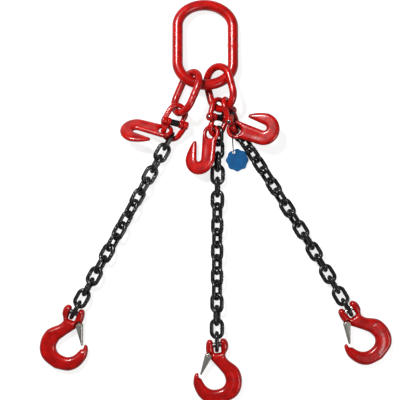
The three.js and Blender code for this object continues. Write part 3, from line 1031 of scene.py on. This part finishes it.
# ---- Sling hook ----
@dataclass
class SlingHook:
    """A clevis sling hook with its pins, its pressed latch and the latch's spring."""

    slot_half: float = 8.4
    pivot: tuple[float, float] = (-24, -25)
    lean: float = 29
    latch_root: float = 8
    latch_tip: float = 1.7
    latch_length: float = 45
    latch_width: float = 8.9

    def outline(self) -> Array:
        """The hook's side: two ears above, the bowl below and the blunt notched tip at -X."""
        s, step = self.slot_half, 1.4
        right = [(s, 10), (14, 13.5), (21.5, 11.5), (26.5, 2), (25, -12), (19, -21), (16, -28)]
        shoulder = [(16, -28), (22, -39), (37, -53), (45, -65)]
        back = [*shoulder, (48.4, -86), (43, -110), (26.8, -128.2), (-6, -138.6)]
        front = [(-6, -138.6), (-37.6, -132.2), (-56.4, -115.4), (-65.4, -90), (-63.6, -72), (-58.4, -60)]
        bowl = [(-46, -74), (-38, -92), (-27, -102), (-14, -104.5), (1, -101), (10, -89), (8.5, -72)]
        neck = [(8.5, -72), (-3, -54), (-17, -34), (-21, -27), (-26.5, -17), (-26, 1), (-21, 13), (-13, 14.5)]
        parts = [
            [(s, -19)],
            spline(right, step),
            spline(back, step)[1:],
            spline(front, step)[1:],
            [(-50.5, -60), (-51.5, -72)],
            spline(bowl, step),
            spline(neck, step)[1:],
            [(-s, 10), (-s, -19)],
        ]
        return even_loop(np.vstack(parts), step, 6)[::-1]

    def surface(self) -> Surface:
        """The forging: full at the bowl and ears, slimmer at the waist, and tapered towards the tip."""
        lug_x, lug_y = self.pivot

        def thickness(points: Array) -> Array:
            """Half the thickness, thinned to a lug where the latch straddles it."""
            tip = np.clip((points[:, 1] + 95) / 35, 0, 1) * (points[:, 0] < -40)
            waist = np.exp(-(((points[:, 1] + 33) / 14) ** 2))
            out = np.hypot(points[:, 0] + 10, points[:, 1] + 84)
            # A shallow panel, a band about the bowl's middle on the back of the hook.
            panel = np.clip((out - 38) / 1.6, 0, 1) * np.clip((50 - out) / 1.6, 0, 1)
            panel *= np.clip((points[:, 0] + 4) / 3, 0, 1) * np.clip((-62 - points[:, 1]) / 3, 0, 1)
            full = 10.9 - 2.6 * tip - 0.9 * waist - 0.8 * panel
            lug = np.hypot(points[:, 0] - lug_x, points[:, 1] - lug_y)
            share = np.clip((lug - 11.2) / 2.2, 0, 1)
            return 2.4 + (full - 2.4) * share * share * (3 - 2 * share)

        outer = self.outline()
        turn = np.roll(outer, -1, 0)
        if (outer[:, 0] * turn[:, 1] - turn[:, 0] * outer[:, 1]).sum() < 0:
            outer = outer[::-1]
        return forged_plate([outer], 9.5, 0.0, thickness, 2.4)

    def latch(self) -> Surface:
        """The latch: a channel of pressed sheet that narrows from its root to its tip.

        Its section at each station is a U, drawn as an outer line and, back again, an inner line one
        sheet away. Half the depth falls from root to tip as root - (root - tip) * share^0.9.

        Returns:
            A closed surface in the latch's own frame, its pivot at the origin.
        """
        root, length = self.latch_root, self.latch_length
        turned = root * np.cos(np.radians(np.linspace(4, 86, 9)))
        along = np.concatenate([turned, np.linspace(0, -length, 28)])
        share = np.clip(-along / length, 0, 1)
        round_end = np.sqrt(np.clip(root**2 - along**2, 0.3, root**2))
        half = np.where(along > 0, round_end, root - (root - self.latch_tip) * share**0.9)
        width = self.latch_width - 2.6 * share**2
        sheet = np.minimum(2.0, half * 0.8)
        bend = np.radians(np.linspace(180, 270, 5))
        fold = np.minimum(3.0, 0.9 * half)
        small = np.maximum(fold - sheet, 0.15)
        middle_x, middle_z = (-half + fold)[:, None], (-width + fold)[:, None]
        outer_x, outer_z = middle_x + fold[:, None] * np.cos(bend), middle_z + fold[:, None] * np.sin(bend)
        inner_x, inner_z = middle_x + small[:, None] * np.cos(bend), middle_z + small[:, None] * np.sin(bend)
        lip, wide, thin = half[:, None], width[:, None], (width - sheet)[:, None]
        inner_back, outer_back = inner_z[:, ::-1], outer_z[:, ::-1]
        x = [lip, inner_x[:, ::-1], inner_x, lip, lip, outer_x[:, ::-1], outer_x, lip]
        z = [-thin, inner_back, -inner_z, thin, wide, -outer_back, outer_z, -wide]
        x, z = np.concatenate(x, 1), np.concatenate(z, 1)
        columns = x.shape[1]
        points = np.stack([x, np.repeat(along[:, None], columns, 1), z], -1).reshape(-1, 3)
        last = len(points) - columns
        ends = [tuple(range(columns))[::-1], tuple(range(last, last + columns))]
        return Surface(points, grid_faces(len(along), columns, False, True) + ends)

    def spring(self) -> Surface:
        """The coil: a wire wound round its pin, centre (4.1 cos a, 4.1 sin a, rise * a)."""
        angle = np.linspace(0, 3 * np.pi, 90)
        path = np.stack([4.1 * np.cos(angle), 4.1 * np.sin(angle), 1.9 * (angle / angle[-1] - 0.5)], -1)
        return tube(path, np.full(len(path), 0.55), 10, False)

    def turned(self, surface: Surface, place: tuple[float, float, float]) -> Surface:
        """A piece turned about X laid along Z at a place."""
        matrix = np.array([[0, 0, 1, place[0]], [0, 1, 0, place[1]], [-1, 0, 0, place[2]], [0, 0, 0, 1.0]])
        return surface.moved(matrix)

    def build(self, finishes: Finishes, ends: dict[Leg, Pose]) -> None:
        """Places and dresses each leg's hook.

        Args:
            finishes: The built finishes.
            ends: Each chain's last link.
        """
        made = self.surface()
        clevis = lathe(both_ends([(23, 6), (24, 4.9), (24, 0)]), 32)
        roll_pin = lathe(both_ends([(9.6, 2.45), (10, 2.1), (10, 1.2)]), 20)
        rivet = lathe(both_ends([(9.2, 2.4), (10.2, 1.7), (10.4, 0)]), 24)
        for leg, last in ends.items():
            down = math.radians(last.heading)
            at = (last.at[0] + 7.2 * math.sin(down), last.at[1] - 7.2 * math.cos(down), 16.6)
            whole = Pose(at, last.heading + 7, 2.5, 180 if leg is Leg.LEFT else 0).matrix()
            body, latch_body = f"sling_hook_{leg.value}", f"latch_{leg.value}"
            pivot = (*self.pivot, 0.0)
            lean = Pose(pivot, -self.lean).matrix()
            coil = Pose((*self.pivot, 4.75)).matrix()
            make_piece(f"load_hook_{leg.value}", made.moved(whole), body, finishes.red, (body,))
            pin_name = f"clevis_pin_{leg.value}"
            make_piece(f"cross_pin_{leg.value}", clevis.moved(whole), body, finishes.steel, (pin_name,), 35)
            rolled = self.turned(roll_pin, (17, 0, 0)).moved(whole)
            roll_name, rivet_name = f"roll_pin_{leg.value}", f"latch_pin_{leg.value}"
            make_piece(f"spring_pin_{leg.value}", rolled, body, finishes.steel, (roll_name,), 35)
            riveted = self.turned(rivet, pivot).moved(whole)
            make_piece(f"latch_rivet_{leg.value}", riveted, body, finishes.zinc, (rivet_name,), 35)
            wound = self.spring().moved(coil).moved(whole)
            make_piece(f"latch_coil_{leg.value}", wound, body, finishes.steel, (f"latch_spring_{leg.value}",))
            pressed = self.latch().moved(lean).moved(whole)
            make_piece(f"safety_{leg.value}", pressed, latch_body, finishes.zinc, (latch_body,), 40)


# ---- Tag ----
@dataclass
class IdentityTag:
    """The blank blue tag with eight shallow points, and the wire ring that holds it."""

    radius: float = 26.8
    hole_out: float = 20
    hole_radius: float = 3.5

    def build(self, finishes: Finishes) -> None:
        """Builds and dresses the tag and its ring."""
        angle = np.linspace(0, 2 * np.pi, 160, endpoint=False)
        wave = self.radius * (0.955 + 0.045 * np.cos(8 * (angle - np.pi / 8)))
        outer = np.stack([wave * np.cos(angle), wave * np.sin(angle)], -1)
        hole = arc((0, self.hole_out), self.hole_radius, 360, 0, 1.1)[:-1]

        def thickness(points: Array) -> Array:
            """A raised border round a slightly sunk face."""
            out = np.hypot(points[:, 0], points[:, 1])
            return 1.15 + 0.3 * np.clip((out - 20.5) / 1.2, 0, 1)

        plate = forged_plate([outer, hole], 1.0, 0.5, thickness, 1.6)
        make_piece("blank_tag", plate.moved(TAG_POSE.matrix()), "id_tag", finishes.tag, ("id_tag",), 45)
        path = link_path(11.8, 27, 11.8, 90)
        wire = tube(path, np.full(len(path), 0.88), 12, True)
        make_piece("tag_wire", wire.moved(TAG_RING_POSE.matrix()), "tag_ring", finishes.wire, ("tag_ring",))


# ---- Studio ----
@dataclass
class Studio:
    """A pale floor, soft light and a camera that looks straight down."""

    view_width: float = 0.94
    distance: float = 2.6
    view_middle: tuple[float, float] = (-12.3, -361.9)

    def floor(self) -> None:
        """A broad pale floor just under the sling."""
        size, below = 6.0, -0.0004
        mesh = bpy.data.meshes.new("floor")
        corners = [(-size, -size, below), (size, -size, below), (size, size, below), (-size, size, below)]
        mesh.from_pydata(corners, [], [(0, 1, 2, 3)])
        material = bpy.data.materials.new("floor_paper")
        material.use_nodes = True
        tree = material.node_tree
        shader = tree.nodes["Principled BSDF"]
        shader.inputs["Roughness"].default_value = 0.9
        shader.inputs["Emission Strength"].default_value = 0.8
        sight = tree.nodes.new("ShaderNodeLightPath")
        tree.links.new(sight.outputs["Is Camera Ray"], shader.inputs["Emission Color"])
        grain = add_noise(tree, 4, 2, 0.5)
        colour = tree.nodes.new("ShaderNodeMix")
        colour.data_type = "RGBA"
        colour.inputs["A"].default_value = (0.50, 0.50, 0.50, 1)
        colour.inputs["B"].default_value = (0.56, 0.56, 0.56, 1)
        tree.links.new(grain.outputs["Fac"], colour.inputs["Factor"])
        tree.links.new(colour.outputs["Result"], shader.inputs["Base Color"])
        mesh.materials.append(material)
        floor = bpy.data.objects.new("floor", mesh)
        bpy.context.scene.collection.objects.link(floor)

    def lamp(self, name: str, place: tuple[float, float, float], size: float, power: float) -> None:
        """An area lamp aimed at the sling's middle."""
        data = bpy.data.lights.new(name, "AREA")
        data.shape, data.size, data.energy = "DISK", size, power
        lamp = bpy.data.objects.new(name, data)
        lamp.location = place
        lamp.rotation_euler = (-Vector(place)).to_track_quat("-Z", "Y").to_euler()
        bpy.context.scene.collection.objects.link(lamp)

    def build(self) -> None:
        """Builds the floor, the lamps, the sky and the camera."""
        self.floor()
        self.lamp("key", (-0.9, 1.2, 2.0), 0.7, 60)
        self.lamp("fill", (1.5, -0.9, 1.8), 1.0, 14)
        world = bpy.data.worlds.new("studio")
        world.use_nodes = True
        world.node_tree.nodes["Background"].inputs["Color"].default_value = (1, 1, 1, 1)
        world.node_tree.nodes["Background"].inputs["Strength"].default_value = 0.08
        bpy.context.scene.world = world
        bpy.context.scene.view_settings.view_transform = "Standard"
        data = bpy.data.cameras.new("camera")
        data.sensor_width = 36
        data.lens = 36 * self.distance / self.view_width
        camera = bpy.data.objects.new("camera", data)
        x, y = (np.array(self.view_middle) + SHIFT[:2]) * MILLIMETRE
        camera.location = (x, y, self.distance)
        bpy.context.scene.collection.objects.link(camera)
        bpy.context.scene.camera = camera


def main() -> None:
    """Builds the whole sling and its studio."""
    logging.basicConfig(level=logging.INFO, format="%(message)s")
    finishes = Finishes.build()
    HeadLinks().build(finishes)
    half = Coupling(Leg.LEFT, COUPLING_POSES[Leg.LEFT]).half()
    for leg, pose in COUPLING_POSES.items():
        Coupling(leg, pose).build(finishes, half)
    GrabHook().build(finishes)
    ends = {leg: ChainLeg(leg, run).build(finishes) for leg, run in CHAIN_RUNS.items()}
    SlingHook().build(finishes, ends)
    IdentityTag().build(finishes)
    Studio().build()


if __name__ == "__main__":
    main()
